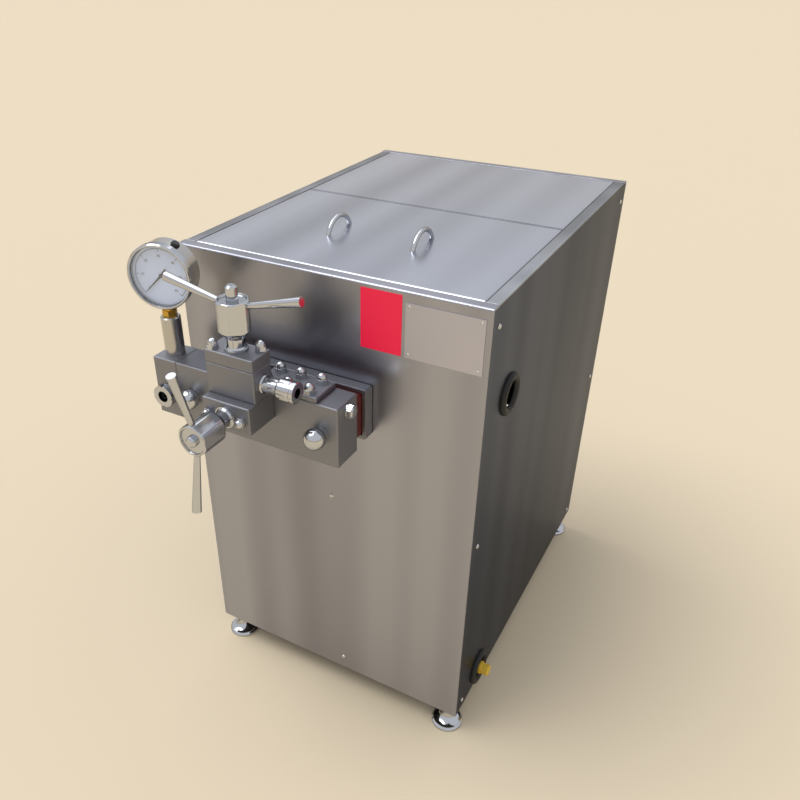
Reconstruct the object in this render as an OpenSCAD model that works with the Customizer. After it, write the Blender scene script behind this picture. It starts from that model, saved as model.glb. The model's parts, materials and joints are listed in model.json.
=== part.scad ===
// Two-stage dairy homogenizer: a stainless cabinet on bell feet, a plunger pump head on its front,
// two pressure valves with hand levers, a dial gauge, and the drive inside.
// X runs across the machine, Y from front to back, Z up. Lengths are in millimetres.

/* [Cabinet] */
// Width of the cabinet
body_w = 560; // [520:10:640]
// Depth of the cabinet
body_d = 740; // [680:10:860]
// Height of the panels
body_h = 858; // [820:2:940]
// Height of the feet below the cabinet
foot_h = 55; // [50:1:70]
// Radius of a bell foot at the floor
foot_r = 31; // [24:1:36]
// Thickness of the panel sheet
sheet = 2; // [1.5:0.5:3]
// Outer radius of the bends in the sheet
fold_r = 3.5; // [2.5:0.5:4]
// Width of the rim round the top opening
rim_w = 20; // [16:1:26]
// Depth of the lift-off lid, front to back
lid_d = 352; // [300:2:420]
// Gap round the lid and the rear top plate
lid_gap = 1.5; // [1:0.5:3]
// Height of the folded edges of the lid
lid_skirt = 14; // [10:1:20]
// Distance from the front to the middle of the lid handles
grip_y = 190; // [140:5:230]
// Distance between the two lid handles
grip_spread = 160; // [120:5:260]
// Span of a lid handle between its feet
grip_span = 72; // [60:1:90]
// Height of a lid handle
grip_h = 24; // [22:1:32]
// Diameter of the lid handle rod
grip_rod = 8; // [6:0.5:10]

/* [Frame] */
// Side of the square frame tube
tube = 25; // [20:1:30]
// Width of the flat bottom rails
rail_w = 50; // [40:2:60]
// Wall of the frame tubes
tube_wall = 3; // [2:0.5:4]

/* [Fittings on the cabinet] */
// Height of the oil sight hole above the pump axis
sight_rise = 29; // [20:1:34]
// Distance of the sight hole and the drain from the front
port_y = 108; // [95:1:125]
// Radius of the sight hole and the drain hole in the panel
eye_r = 30; // [26:1:34]
// Height of the oil drain above the bottom rails
drain_h = 10; // [9:1:16]
// Radius of the oil drain pipe
drain_r = 8; // [6:0.5:8]
// Width of the data plate
plate_w = 125; // [100:1:140]
// Height of the data plate
plate_h = 89; // [70:1:100]
// Radius of the hole in the cable gland
gland_bore = 6; // [5:0.5:8]

/* [Pump head] */
// Drop of the pump axis below the cabinet's top
axis_drop = 215; // [205:1:235]
// Middle of the pump block across the machine
head_x = -66.5; // [-72:0.5:-60]
// Length of the pump block
block_l = 311; // [300:1:330]
// Depth of the pump block
block_d = 59; // [56:1:70]
// Height of the pump block
block_h = 106; // [100:1:120]
// Distance from the cabinet's front to the back of the pump block
stand_off = 45; // [40:1:55]
// Width of the gauge block at the left end
gauge_block_w = 48; // [44:1:56]
// Radius of a plunger
plunger_r = 14; // [11:0.5:15]
// Distance between the plungers
plunger_pitch = 60; // [56:1:64]
// Stroke of the plungers
stroke = 30; // [20:1:34]
// Radius of the inlet bore
inlet_r = 10; // [8:0.5:12]
// Radius of the outlet bore
outlet_r = 8; // [6:0.5:9]

/* [Pressure valves] */
// Middle of the valve bodies across the machine
valve_x = -70; // [-74:0.5:-66]
// Width of the valve bodies
valve_w = 88; // [84:1:96]
// Depth of the upper body
upper_d = 47; // [46:1:52]
// Height of the upper body without its cover
upper_h = 52; // [50:1:60]
// Thickness of the upper body's cover
cover_t = 21; // [18:1:26]
// Depth of the lower body
lower_d = 64; // [62:1:76]
// Height of the lower body
lower_h = 47; // [46:1:50]
// Radius of the lever hub
hub_r = 25.5; // [24:0.5:28]
// Length of the lever hub
hub_l = 60; // [48:1:64]
// Length of the neck under a lever hub
neck_l = 20; // [18:1:24]
// Length of a lever arm outside its hub
arm_l = 92; // [80:1:94]
// Tilt of the lever arms away from the body
arm_tilt = 14; // [8:1:18]
// Feed of the spindle over the whole turn of a lever
feed = 3; // [2:0.5:4]

/* [Pressure gauge] */
// Radius of the gauge's bezel
gauge_r = 54.5; // [50:0.5:58]
// Depth of the gauge's case
gauge_depth = 42; // [38:1:50]
// Turn of the gauge towards the right
gauge_turn = 15.5; // [0:0.5:24]
// Height of the steel post under the gauge
post_h = 68; // [60:1:76]

/* [Drive] */
// Radius of the crank pulley
crank_r = 130; // [110:2:132]
// Radius of the motor pulley
motor_r = 55; // [45:1:64]
// Distance of the crankshaft from the front
crank_y = 170; // [168:1:180]
// Distance of the motor from the front
motor_y = 300; // [290:2:330]
// Height of the motor's shaft above its feet
motor_shaft_h = 112; // [106:1:124]
// Radius of the motor's body
motor_body_r = 92; // [84:1:96]

/* [Fits] */
// Running clearance of a shaft in its bore, on the radius
run_fit = 0.05; // [0.02:0.01:0.09]
// Clearance of a stud or pin in its hole, on the radius
hole_fit = 0.3; // [0.2:0.05:0.5]
// Gap between faces that move past each other
slip_gap = 0.5; // [0.4:0.1:1]

/* [Hidden] */
$fn = 48;

// Cabinet: heights, half widths and the two covers of the top
top_z = foot_h + body_h;
half_w = body_w / 2;
in_w = half_w - sheet;
base_top = foot_h + tube;
rail_top = top_z - lid_skirt;
ledge = 4;
top_rail_w = rim_w + lid_gap + ledge;
lid_x = half_w - rim_w - lid_gap;
lid_y = rim_w + lid_gap;
seam_y = lid_y + lid_d + lid_gap / 2;
rear_y = seam_y + lid_gap / 2;
rear_d = body_d - rim_w - lid_gap - rear_y;
foot_inset = sheet + rail_w / 2;
foot_nut_t = 8;
foot_stud_r = 6;
screw_r = 2;
screw_inset = 28;
screw_low = 20;
screw_mid = 0.4825 * body_h;
screw_drop = 36;
side_screw_z = [foot_h + screw_low, foot_h + screw_mid, top_z - screw_drop];
side_screws = [for (y = [screw_inset, body_d - screw_inset], z = side_screw_z) [y, z]];
front_screw_x = 9.5;
front_screw_mid = 0.5117 * body_h;
front_screws = [[front_screw_x, foot_h + front_screw_mid], [screw_inset, foot_h + screw_low + 10]];
grommet_wall = 2.5;
grommet_lip = 7;
slot_rows = 8;
slot_l = 150;
slot_h = 6;
slot_pitch = 20;
slot_z = foot_h + 160;
gland_x = 150;
gland_z = foot_h + 90;
gland_neck = gland_bore + 4;
plate_t = 1;
plate_margin = 9;
plate_drop = 17;
motor_foot_y = 70;
bearer_spread = 200;

// Pump head: faces of the blocks and the places of its bores
axis_z = top_z - axis_drop;
back_y = -stand_off;
front_y = back_y - block_d;
mid_y = back_y - block_d / 2;
block_x0 = head_x - block_l / 2;
block_x1 = head_x + block_l / 2;
block_top = axis_z + block_h / 2;
gauge_x = block_x0 - gauge_block_w / 2;
inlet_x = gauge_x + 8;
inlet_z = axis_z - 5;
edge = 1.2;
nose_w = block_l - 10;
nose_h = block_h - 30;
nose_gap = 1;
trim_t = 20;
gasket_t = 2;
trim_border = 7;
trim_w = nose_w + 2 * nose_gap + 2 * trim_border;
trim_h = nose_h + 2 * nose_gap + 2 * trim_border;
plunger_x = [for (k = [-1:1]) head_x + k * plunger_pitch];
crank_angle = [0, 120, 240];
plunger_l = 140;
head_space = 2;
chamber_end = mid_y - 11;
packing_t = 12;
packing_w = 4;
gallery_r = 7;
gallery_drop = block_h / 2 - 15;
port_r = 5;
ball_r = 6.5;
ball_seat_gap = 0.1;
ball_lift = sqrt(ball_r * ball_r - port_r * port_r) + ball_seat_gap;
pocket_r = ball_r + 0.7;
suction_seat = axis_z - gallery_drop + gallery_r + 1;
discharge_seat = axis_z + plunger_r + 4;
stud_r = 8;
stud_inset = 33;
ball_nut_r = 17.5;
cover_w = 114;
cover_x = head_x + 61.5;
block_cover_t = 9;
nut_pitch = 38.5;
nut_row = 36;
small_stud_r = 5;
plug_r = 12;
stud_x = [block_x0 + stud_inset, block_x1 - stud_inset];
stud_in = 30;
cover_nut_x = [for (k = [-1:1]) cover_x + k * nut_pitch];
cover_nut_y = [mid_y - nut_row / 2, mid_y + nut_row / 2];
cover_stud_in = 15;
cover_nut_flats = 17;
case_bore_end = chamber_end + head_space + stroke + plunger_l + 2;
case_drop = 120;
case_rise = 60;
case_foot_t = 14;
housing_r = case_drop - 8;
skirt_l = 200;
filler_r = 20;
nose_chamfer = 3;
bearer_z = axis_z - case_drop;

// Pressure valves: the first stage stands on Z, the second lies towards the front
lower_y = front_y - lower_d;
lower_z = block_top - lower_h;
upper_y = front_y - upper_d;
cover_z = block_top + upper_h;
first_base = [valve_x, (front_y + upper_y) / 2, cover_z + cover_t];
second_base = [valve_x, lower_y, block_top - lower_h / 2];
neck_r = 14;
spindle_r = 9;
spindle_end = [22, 6];
arm_root_r = 4.8;
arm_tip_r = 7.5;
arm_seat = 12;
arm_drop = 6.5;
hub_dish = 2.5;
seat_t = 8;
core_r = 11;
core_l = 14;
valve_bore_r = 15;
spring_rod = 2.4;
spring_turns = 4;
spring_l = 20;
first_depth = cover_t + upper_h - 10;
second_depth = lower_d - 14;
valve_depth = [first_depth, second_depth];
spring_seat_gap = 0.3;
bonnet_web = 5;
top_nut = [34, 14];
top_stud_in = 30;
top_nut_flats = 16;
front_nut_x = 31;
front_nut_flats = 15;
front_stud_in = 20;
feed_x = valve_x - 16;
feed_in = 7;
outlet_z = block_top + upper_h / 2;
union_l = 62;
outlet_port_r = outlet_r - 1;

// Gauge: heights on its post
adapter_h = 14;
stem_gap = 4;
gauge_z = block_top + post_h + adapter_h + stem_gap + gauge_r;
pointer_start = 225;
case_r = gauge_r - 3;
dial_r = case_r - 2.3;
bezel_lip = 3;
bezel_d = 14;
glass_t = 3;
dial_at = gauge_depth / 2 - bezel_lip - glass_t - 5;
pin_r = 1.5;
stem_r = 6.5;
stem_seat = 3;
post_r = 16.5;
post_pin_r = 8;
post_pin_l = 14;
gauge_plug_r = 6;
gauge_plug_back = 5;
gauge_plug_turn = -26;

// Drive: pulleys, belts and the motor's height
motor_plate_t = 8;
motor_z = base_top + motor_plate_t + motor_shaft_h;
pulley_w = 40;
belt_w = 9;
belt_t = 8;
belt_pitch = 13;
belt_gap = 0.5;
shaft_r = 20;
case_w = 250;
case_y0 = 34;
case_y1 = crank_y + 130;
case_x0 = head_x - case_w / 2;
case_x1 = head_x + case_w / 2;
cap_t = 7;
bearing_cap_r = 2.3 * shaft_r;
cap_screw_at = 1.8 * shaft_r;
cap_screw_in = 2;
filler_neck = 10;
filler_cap_h = 12;
pulley_x = case_x0 - cap_t - 1.5 - pulley_w;
shaft_in = 60;
motor_shaft_r = 14;
motor_x = pulley_x + pulley_w + 26;
motor_l = 250;
fan_cover_l = 50;
end_bell = 10;
fin_h = 8;
fin_t = 4;
fin_end = 15;
motor_foot = [40, 50, 12];
motor_foot_x = [motor_x + 60, motor_x + motor_l - 60];
web_t = 16;
terminal = [110, 100, 45];
terminal_at = 50;
sight_in = 20;
sight_glass_r = 16;
drain_x = head_x + 46.5;
drain_z = base_top + drain_h;
sight_z = axis_z + sight_rise;
drain_cap_l = 20;

// Origin: under the middle of the whole outline, on the floor
reach_left = -gauge_x + case_r * cos(gauge_turn) + (gauge_depth / 2) * sin(gauge_turn);
reach_right = half_w + drain_cap_l + 4;
lever_root = neck_l + slip_gap + hub_l - arm_drop;
reach_front = -lower_y + lever_root + arm_l * sin(arm_tilt) + arm_tip_r * cos(arm_tilt);
gland_l = 18;
reach_back = body_d + gland_l;

module placed() {
    translate([(reach_left - reach_right) / 2, (reach_front - reach_back) / 2, 0]) children();
}

// Outline of a rectangle with its corners cut at 45 degrees
module cut_rect(l, w, c) {
    polygon([[-l / 2 + c, -w / 2], [l / 2 - c, -w / 2], [l / 2, -w / 2 + c], [l / 2, w / 2 - c],
        [l / 2 - c, w / 2], [-l / 2 + c, w / 2], [-l / 2, w / 2 - c], [-l / 2, -w / 2 + c]]);
}

// Machined block with a small chamfer on every edge, about its middle
module chamfer_block(size, c) {
    intersection() {
        linear_extrude(size[2], center = true) cut_rect(size[0], size[1], c);
        rotate([90, 0, 0]) linear_extrude(size[1], center = true) cut_rect(size[0], size[2], c);
        rotate([90, 0, 90]) linear_extrude(size[0], center = true) cut_rect(size[1], size[2], c);
    }
}

// Square or flat tube of the welded frame: corner, size, and the axis that it runs along
module rail(at, size, along) {
    difference() {
        translate(at) cube(size);
        translate(at + [for (i = [0:2]) i == along ? -1 : tube_wall])
            cube([for (i = [0:2]) i == along ? size[i] + 2 : size[i] - 2 * tube_wall]);
    }
}

module on_front(x, y, z) {
    translate([x, y, z]) rotate([90, 0, 0]) children();
}

module on_right(x, y, z) {
    translate([x, y, z]) rotate([0, 90, 0]) children();
}

// Cap nut with its stud below the face that it sits on
module cap_nut(flats, stud, stud_l) {
    cylinder(r = flats / sqrt(3), h = flats * 0.45, $fn = 6);
    cylinder(r = flats * 0.47, h = flats * 0.55);
    translate([0, 0, flats * 0.55]) sphere(r = flats * 0.47);
    translate([0, 0, -stud_l]) cylinder(r = stud, h = stud_l + 1);
}

// Cabinet

module base_rails() placed() color("dimgray") {
    for (y = [sheet, body_d - sheet - rail_w])
        difference() {
            rail([-in_w, y, foot_h], [2 * in_w, rail_w, tube], 0);
            for (x = [-1, 1])
                translate([x * (half_w - foot_inset), y + rail_w / 2, foot_h - 1])
                    cylinder(r = foot_stud_r + hole_fit, h = tube_wall + 2);
        }
    for (x = [-in_w, in_w - rail_w])
        rail([x, sheet + rail_w, foot_h], [rail_w, body_d - 2 * sheet - 2 * rail_w, tube], 1);
    for (y = [motor_y - motor_foot_y, motor_y + motor_foot_y])
        rail([-in_w + rail_w, y - rail_w / 2, foot_h], [2 * (in_w - rail_w), rail_w, tube], 0);
}

// Uprights, the bearers under the crankcase, and the ring of rails that carries the top
module upper_frame() placed() color("dimgray") {
    upright_l = rail_top - tube - base_top;
    for (x = [-in_w, in_w - tube], y = [sheet, seam_y - tube / 2, body_d - sheet - tube])
        rail([x, y, base_top], [tube, tube, upright_l], 2);
    for (y = [sheet, seam_y - tube / 2])
        rail([-in_w + tube, y, bearer_z - tube], [2 * (in_w - tube), tube, tube], 0);
    for (x = [-1, 1])
        rail([head_x + x * bearer_spread / 2 - tube / 2, sheet + tube, bearer_z - tube],
            [tube, seam_y - tube / 2 - sheet - tube, tube], 1);
    for (y = [sheet, body_d - sheet - top_rail_w])
        rail([-in_w, y, rail_top - tube], [2 * in_w, top_rail_w, tube], 0);
    for (x = [-in_w, in_w - top_rail_w])
        rail([x, sheet + top_rail_w, rail_top - tube],
            [top_rail_w, body_d - 2 * sheet - 2 * top_rail_w, tube], 1);
    seam_rail = lid_gap + 2 * (sheet + ledge);
    rail([-in_w + top_rail_w, seam_y - seam_rail / 2, rail_top - tube],
        [2 * (in_w - top_rail_w), seam_rail, tube], 0);
}

// Section of a bend: the material outside the bend radius, from the corner inwards
module bend_cut(l) {
    translate([0, 0, -1]) linear_extrude(l + 2) difference() {
        translate([-1, -1]) square(fold_r + 1);
        translate([fold_r, fold_r]) circle(r = fold_r);
    }
}

// Front or back sheet with its top edge folded inwards
module folded_sheet() {
    difference() {
        union() {
            translate([-half_w, 0, foot_h]) cube([body_w, sheet, body_h]);
            translate([-half_w, 0, top_z - sheet]) cube([body_w, rim_w, sheet]);
        }
        translate([half_w, 0, top_z]) rotate([0, -90, 0]) rotate(90) bend_cut(body_w);
    }
}

module front_panel() placed() color("silver")
    difference() {
        folded_sheet();
        translate([head_x, 0, axis_z])
            cube([nose_w + 2 * nose_gap, 4 * sheet, nose_h + 2 * nose_gap], center = true);
        for (p = front_screws) on_front(p[0], sheet + 1, p[1])
            cylinder(r = screw_r + hole_fit, h = sheet + 2);
    }

// Side sheet with its top edge folded inwards, between the front and back sheets
module side_sheet() {
    difference() {
        union() {
            translate([in_w, sheet, foot_h]) cube([sheet, body_d - 2 * sheet, body_h - sheet]);
            translate([half_w - rim_w, rim_w, top_z - sheet]) cube([rim_w, body_d - 2 * rim_w, sheet]);
        }
        translate([half_w, body_d, top_z]) rotate([90, 0, 0]) rotate(180) bend_cut(body_d);
    }
}

module side_screw_holes() {
    for (p = side_screws) on_right(in_w - 1, p[0], p[1]) cylinder(r = screw_r + hole_fit, h = sheet + 2);
}

module left_panel() placed() color("silver")
    mirror([1, 0, 0]) difference() {
        side_sheet();
        side_screw_holes();
    }

module right_panel() placed() color("dimgray")
    difference() {
        side_sheet();
        side_screw_holes();
        for (z = [sight_z, drain_z]) on_right(in_w - 1, port_y, z) cylinder(r = eye_r, h = sheet + 2);
    }

// Back sheet with two columns of cooling slots and the hole of the cable gland
module back_panel() placed() color("silver")
    difference() {
        translate([0, body_d, 0]) mirror([0, 1, 0]) folded_sheet();
        for (x = [-1, 1], k = [0:slot_rows - 1])
            translate([x * body_w / 4 - slot_l / 2, body_d - sheet - 1, slot_z + k * slot_pitch])
                cube([slot_l, sheet + 2, slot_h]);
        on_front(gland_x, body_d + 1, gland_z) cylinder(r = gland_neck + hole_fit, h = sheet + 2);
    }

// Section of a cover with both top corners bent to the fold radius
module bent_section(l) {
    translate([-l / 2, 0]) square([l, lid_skirt - fold_r]);
    translate([fold_r - l / 2, 0]) square([l - 2 * fold_r, lid_skirt]);
    for (s = [-1, 1]) translate([s * (l / 2 - fold_r), lid_skirt - fold_r]) circle(r = fold_r);
}

// Flat cover with its four edges folded down
module tray(y, d) {
    difference() {
        translate([0, y + d / 2, rail_top]) intersection() {
            rotate([90, 0, 0]) linear_extrude(d, center = true) bent_section(2 * lid_x);
            rotate([90, 0, 90]) linear_extrude(2 * lid_x, center = true) bent_section(d);
        }
        translate([-lid_x + sheet, y + sheet, rail_top - 1])
            cube([2 * (lid_x - sheet), d - 2 * sheet, lid_skirt - sheet + 1]);
    }
}

module rear_top_plate() placed() color("lightsteelblue") tray(rear_y, rear_d);

module lid() placed() color("lightsteelblue") tray(lid_y, lid_d);

// Each handle is the part of a ring of rod that stands above the lid
module lid_handles() placed() color("gainsboro") {
    ring_r = (grip_span * grip_span / 4 + grip_h * grip_h) / (2 * grip_h);
    for (x = [-1, 1])
        translate([x * grip_spread / 2, grip_y, top_z])
            intersection() {
                translate([0, 0, grip_h - ring_r]) rotate([0, 90, 0])
                    rotate_extrude() translate([ring_r, 0]) circle(r = grip_rod / 2);
                translate([-grip_rod, -2 * ring_r, 0]) cube([2 * grip_rod, 4 * ring_r, 3 * ring_r]);
            }
}

// Bell foot with its stud and the lock nut under the rail
module feet() placed() color("gainsboro")
    for (x = [-1, 1], y = [foot_inset, body_d - foot_inset])
        translate([x * (half_w - foot_inset), y, 0]) {
            rotate_extrude() difference() {
                bell_h = foot_h - foot_nut_t - 4;
                polygon([[0, 0], [foot_r, 0], [foot_r, 5], [foot_r - 3, 8], [foot_stud_r + 5, bell_h - 4],
                    [foot_stud_r + 2, bell_h], [foot_stud_r, bell_h], [foot_stud_r, foot_h + tube_wall + 8],
                    [0, foot_h + tube_wall + 8]]);
                translate([foot_r - 1, bell_h * 0.72]) circle(r = bell_h * 0.52);
            }
            translate([0, 0, foot_h - foot_nut_t]) difference() {
                cylinder(r = foot_stud_r * 2, h = foot_nut_t, $fn = 6);
                translate([0, 0, -1]) cylinder(r = foot_stud_r + run_fit, h = foot_nut_t + 2);
            }
        }

// Button-head screws of the side panels and the front
module panel_screws() placed() color("gainsboro") {
    for (s = [-1, 1], p = side_screws) translate([s * in_w, p[0], p[1]]) rotate([0, s * 90, 0]) screw();
    for (p = front_screws) on_front(p[0], sheet, p[1]) screw();
}

module screw() {
    cylinder(r = screw_r, h = sheet + 1);
    translate([0, 0, sheet]) cylinder(r1 = 2.2 * screw_r, r2 = 1.5 * screw_r, h = screw_r);
}

// Rubber ring in each panel hole: a half-round lip outside and a sleeve through the sheet
module grommets() placed() color("#1c1c1c")
    for (z = [sight_z, drain_z]) on_right(in_w, port_y, z) rotate_extrude() {
        translate([eye_r - grommet_wall - hole_fit, 0]) square([grommet_wall, sheet + 1]);
        translate([eye_r, sheet]) intersection() {
            circle(r = grommet_lip);
            translate([-grommet_lip, 0]) square([2 * grommet_lip, grommet_lip]);
        }
    }

// Oil drain: a pipe from under the crankcase, round a bend and out through the right panel
module drain_pipe() placed() color("silver") {
    drop = bearer_z - drain_z;
    difference() {
        union() {
            translate([drain_x, port_y, drain_z]) cylinder(r = drain_r, h = drop);
            on_right(drain_x, port_y, drain_z) cylinder(r = drain_r, h = half_w + 8 - drain_x);
            translate([drain_x, port_y, drain_z]) sphere(r = drain_r);
        }
        translate([drain_x, port_y, drain_z]) cylinder(r = drain_r - 1.5, h = drop + 1);
        on_right(drain_x, port_y, drain_z) cylinder(r = drain_r - 1.5, h = half_w + 9 - drain_x);
    }
}

// Plastic cap that slips over the end of the drain pipe
module drain_cap() placed() color("gold")
    on_right(half_w + 4, port_y, drain_z) difference() {
        union() {
            cylinder(r = drain_r + 3.5, h = drain_cap_l - 2);
            cylinder(r = drain_r + 5, h = 4);
            translate([0, 0, drain_cap_l - 2]) cylinder(r1 = drain_r + 3.5, r2 = drain_r + 1.5, h = 2);
        }
        translate([0, 0, -1]) cylinder(r = drain_r + hole_fit, h = 6);
    }

// Gland for a supply cable: threaded neck, hexagon and dome nut on the back panel
module cable_gland() placed() color("#202020")
    translate([gland_x, body_d, gland_z]) rotate([-90, 0, 0]) difference() {
        union() {
            translate([0, 0, -sheet - 6]) cylinder(r = gland_neck, h = sheet + 7);
            cylinder(r = gland_neck + 4, h = 6, $fn = 6);
            translate([0, 0, 6]) cylinder(r1 = gland_neck + 1, r2 = gland_bore + 3, h = gland_l - 6);
        }
        translate([0, 0, -sheet - 7]) cylinder(r = gland_bore, h = gland_l + sheet + 8);
    }

module data_plate() placed() color("gainsboro")
    translate([half_w - plate_margin - plate_w, -plate_t, top_z - plate_drop - plate_h])
        cube([plate_w, plate_t, plate_h]);

// Pump

// Casting: nose through the front panel, housing of the crank and four feet on the bearers
module crankcase() placed() color("firebrick")
    difference() {
        union() {
            translate([head_x, (back_y + case_y0 + 1) / 2, axis_z])
                chamfer_block([nose_w, case_y0 + 1 - back_y, nose_h], nose_chamfer);
            on_right(case_x0, crank_y, axis_z) cylinder(r = housing_r, h = case_w);
            translate([case_x0, case_y0, bearer_z + case_foot_t])
                cube([case_w, crank_y - case_y0, case_drop + case_rise - case_foot_t]);
            translate([case_x0, crank_y - skirt_l / 2, bearer_z + case_foot_t])
                cube([case_w, skirt_l, case_drop - case_foot_t]);
            translate([case_x0, case_y0, bearer_z]) cube([case_w, case_y1 - case_y0, case_foot_t]);
            translate([head_x, crank_y, axis_z]) cylinder(r = filler_r, h = case_drop);
        }
        for (x = plunger_x) on_front(x, case_bore_end, axis_z)
            cylinder(r = plunger_r + hole_fit, h = case_bore_end - back_y + 1);
        on_right(case_x0 - 1, crank_y, axis_z) cylinder(r = shaft_r + run_fit, h = shaft_in + 2);
        for (x = stud_x) on_front(x, back_y + stud_in, axis_z)
            cylinder(r = stud_r + hole_fit, h = stud_in + 1);
        on_right(case_x1 - sight_in, port_y, sight_z)
            cylinder(r = sight_glass_r + hole_fit, h = sight_in + 1);
    }

// Round cap with a circle of countersunk screw holes on its outer face
module bearing_cap(outer_z) {
    difference() {
        cylinder(r = bearing_cap_r, h = cap_t);
        for (a = [0:60:300]) rotate(a) translate([cap_screw_at, 0, outer_z - cap_screw_in])
            cylinder(r = 3, h = 2 * cap_screw_in);
    }
}

// Bearing cap on the pulley side, blind cap opposite, and the oil filler on top
module crankcase_caps() placed() color("firebrick") {
    on_right(case_x0 - cap_t, crank_y, axis_z) difference() {
        bearing_cap(0);
        translate([0, 0, -1]) cylinder(r = shaft_r + run_fit, h = cap_t + 2);
    }
    on_right(case_x1, crank_y, axis_z) bearing_cap(cap_t);
    translate([head_x, crank_y, axis_z + case_drop]) {
        cylinder(r = filler_r - 4, h = filler_neck);
        translate([0, 0, filler_neck]) cylinder(r = filler_r + 1, h = filler_cap_h, $fn = 10);
    }
}

module oil_sight_glass() placed() color("lightyellow")
    on_right(case_x1 - sight_in, port_y, sight_z) {
        cylinder(r = sight_glass_r, h = sight_in + 4);
        translate([0, 0, sight_in]) cylinder(r = sight_glass_r + 5, h = 3);
    }

// Frame of square bar round the nose, in front of the gasket
module nose_ring(w, h, t) {
    rotate([90, 0, 0]) linear_extrude(t) difference() {
        cut_rect(w, h, 3);
        square([nose_w + 2 * nose_gap, nose_h + 2 * nose_gap], center = true);
    }
}

module trim_frame() placed() color("silver")
    translate([head_x, -gasket_t, axis_z]) nose_ring(trim_w, trim_h, trim_t);

module head_gasket() placed() color("#1c1c1c")
    translate([head_x, 0, axis_z]) nose_ring(trim_w, trim_h, gasket_t);

// Block with plunger chambers, suction and discharge galleries, valve pockets and stud holes
module pump_block() placed() color("gainsboro")
    difference() {
        translate([head_x, mid_y, axis_z]) chamfer_block([block_l, block_d, block_h], edge);
        for (x = plunger_x) {
            on_front(x, back_y + 1, axis_z) {
                cylinder(r = plunger_r + hole_fit, h = back_y + 1 - chamber_end);
                cylinder(r = plunger_r + packing_w + hole_fit, h = packing_t + 1);
            }
            translate([x, mid_y, axis_z - gallery_drop]) cylinder(r = port_r, h = gallery_drop);
            translate([x, mid_y, suction_seat]) cylinder(r = pocket_r, h = axis_z - suction_seat);
            translate([x, mid_y, axis_z]) cylinder(r = port_r, h = gallery_drop);
            translate([x, mid_y, discharge_seat])
                cylinder(r = pocket_r, h = axis_z + gallery_drop - discharge_seat);
        }
        on_right(block_x0 - 1, mid_y, axis_z - gallery_drop) cylinder(r = gallery_r, h = block_l - 30);
        on_right(block_x0 + 30, mid_y, axis_z + gallery_drop) cylinder(r = gallery_r, h = block_l - 28);
        on_front(feed_x, mid_y, axis_z + gallery_drop) cylinder(r = port_r, h = block_d);
        for (x = stud_x) on_front(x, back_y + 1, axis_z) cylinder(r = stud_r + hole_fit, h = block_d + 2);
        for (x = cover_nut_x, y = cover_nut_y)
            translate([x, y, block_top - cover_stud_in - 2])
                cylinder(r = small_stud_r + hole_fit, h = cover_stud_in + 3);
        stage(2) for (x = [-1, 1]) translate([x * front_nut_x, 0, -lower_d - front_stud_in])
            cylinder(r = small_stud_r + hole_fit, h = front_stud_in + 1);
    }

// Block at the left end: takes the inlet and carries the gauge
module gauge_block() placed() color("silver")
    difference() {
        translate([gauge_x, mid_y, axis_z]) chamfer_block([gauge_block_w, block_d, block_h], edge);
        on_front(inlet_x, mid_y, inlet_z) cylinder(r = inlet_r - 1, h = block_d);
        translate([gauge_x, mid_y, axis_z - gallery_drop]) cylinder(r = gallery_r, h = gallery_drop);
        on_right(gauge_x, mid_y, axis_z - gallery_drop) cylinder(r = gallery_r, h = gauge_block_w);
        translate([gauge_x, mid_y, block_top - post_pin_l - 2])
            cylinder(r = post_pin_r + hole_fit, h = post_pin_l + 3);
    }

module block_cover() placed() color("silver")
    difference() {
        translate([cover_x, mid_y, block_top + block_cover_t / 2])
            chamfer_block([cover_w, block_d - 2, block_cover_t], edge);
        for (x = cover_nut_x, y = cover_nut_y)
            translate([x, y, block_top - 1]) cylinder(r = small_stud_r + hole_fit, h = block_cover_t + 2);
    }

module cover_nuts() placed() color("gainsboro")
    for (x = cover_nut_x, y = cover_nut_y)
        translate([x, y, block_top + block_cover_t])
            cap_nut(cover_nut_flats, small_stud_r, block_cover_t + cover_stud_in);

// Ball nuts on the long studs that hold the pump block to the crankcase
module ball_nuts() placed() color("gainsboro")
    for (x = stud_x) on_front(x, front_y, axis_z) {
        cylinder(r = ball_nut_r * 0.8, h = ball_nut_r * 0.5);
        difference() {
            translate([0, 0, ball_nut_r * 0.8]) sphere(r = ball_nut_r);
            translate(-ball_nut_r * [1, 1, 1]) cube(ball_nut_r * [2, 2, 1]);
        }
        translate([0, 0, -block_d - stud_in + 2]) cylinder(r = stud_r, h = block_d + stud_in - 1);
    }

module end_plug() placed() color("gainsboro")
    on_right(block_x1, mid_y, axis_z + gallery_drop) {
        translate([0, 0, -18]) cylinder(r = gallery_r - run_fit, h = 19);
        cylinder(r = plug_r, h = 4);
        translate([0, 0, 4]) cylinder(r = plug_r, h = 7, $fn = 6);
        translate([0, 0, 11]) cylinder(r1 = plug_r * 0.8, r2 = plug_r * 0.6, h = 2);
    }

// Inlet: a flanged stub with a ring nut, open towards the front
module inlet_fitting() placed() color("gainsboro")
    on_front(inlet_x, front_y, inlet_z) difference() {
        union() {
            cylinder(r = inlet_r + 6, h = 9);
            translate([0, 0, 9]) cylinder(r = inlet_r + 4, h = 3);
            translate([0, 0, 11]) cylinder(r = inlet_r + 9.5, h = 12);
        }
        translate([0, 0, -1]) cylinder(r = inlet_r, h = 25);
        for (a = [0:90:270]) rotate(a) translate([inlet_r + 8, -2, 14]) cube([3, 4, 10]);
    }

module packings() placed() color("ivory")
    for (x = plunger_x) on_front(x, back_y, axis_z) difference() {
        cylinder(r = plunger_r + packing_w, h = packing_t);
        translate([0, 0, -1]) cylinder(r = plunger_r + run_fit, h = packing_t + 2);
    }

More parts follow.
